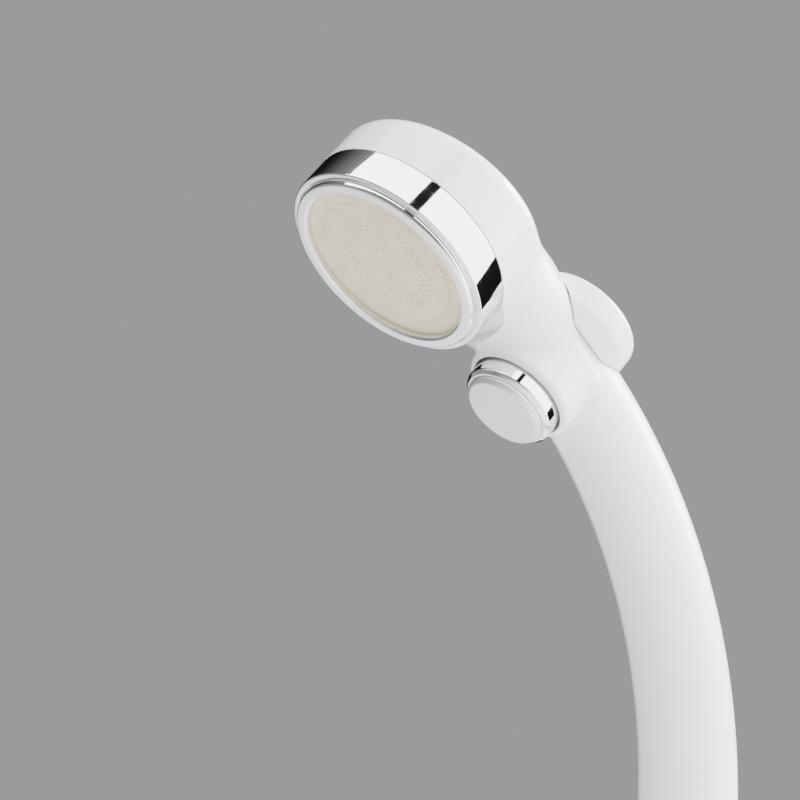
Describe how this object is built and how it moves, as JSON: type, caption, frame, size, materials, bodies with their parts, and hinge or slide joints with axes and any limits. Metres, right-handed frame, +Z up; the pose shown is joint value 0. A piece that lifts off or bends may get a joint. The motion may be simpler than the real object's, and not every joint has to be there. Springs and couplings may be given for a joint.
{
  "type": "handheld shower head",
  "caption": "Curved one-piece hand shower with a chrome screw ring round a fine-holed spray plate and a push-through stop button in the neck.",
  "frame": {"origin": "centre of the free end of the male hose thread at the foot of the handle", "axes": "+Z up along the hose inlet, -Y the side the spray leaves from, X across; the part is symmetric about X = 0"},
  "size_m": [0.064, 0.1601, 0.2286],
  "materials": {
    "white_abs": "polished, seamless moulding",
    "chrome_plate": "bright chrome plate on ABS",
    "satin_silver": "fine satin silver paint",
    "cream_pom": "smooth matte, cream",
    "black_epdm": "moulded",
    "white_pom": "moulded",
    "dezinc_brass": "machined",
    "stainless": "as made",
    "grey_pom": "moulded"
  },
  "bodies": {
    "handle": {"main_body": "white_abs", "diffuser_plate": "white_pom", "head_o_ring": "black_epdm", "valve_sleeve": "dezinc_brass", "sleeve_front_o_ring": "black_epdm", "sleeve_rear_o_ring": "black_epdm", "sleeve_screws": "stainless", "hose_connector": "chrome_plate", "connector_o_ring": "black_epdm", "flow_regulator": "grey_pom", "regulator_o_ring": "black_epdm", "inlet_strainer": "stainless"},
    "plate_set": {"spray_plate": "cream_pom", "plate_gasket": "black_epdm"},
    "ring": {"face_ring": "chrome_plate"},
    "valve": {"valve_spool": "dezinc_brass", "spool_front_o_ring": "black_epdm", "spool_seat_o_ring": "black_epdm", "rear_piston": "dezinc_brass", "rear_piston_o_ring": "black_epdm", "front_button": "chrome_plate", "button_face": "satin_silver", "button_screw": "stainless", "rear_button": "white_abs"}
  },
  "joints": [
    {"name": "valve_push", "type": "slide", "parent": "handle", "child": "valve", "axis": [0, 0.6428, 0.766], "range_m": [0, 0.0055]},
    {"name": "plate_lift", "type": "slide", "parent": "handle", "child": "plate_set", "axis": [0, -0.6428, -0.766], "range_m": [0, 0.006]},
    {"name": "ring_unscrew", "type": "hinge", "parent": "plate_set", "child": "ring", "pos_m": [0, -0.12241, 0.18715], "axis": [0, -0.6428, -0.766], "range_deg": [0, 1080]}
  ],
  "couplings": [
    {"joint": "plate_lift", "follows": "ring_unscrew", "m_per_rad": 0.0003183}
  ]
}
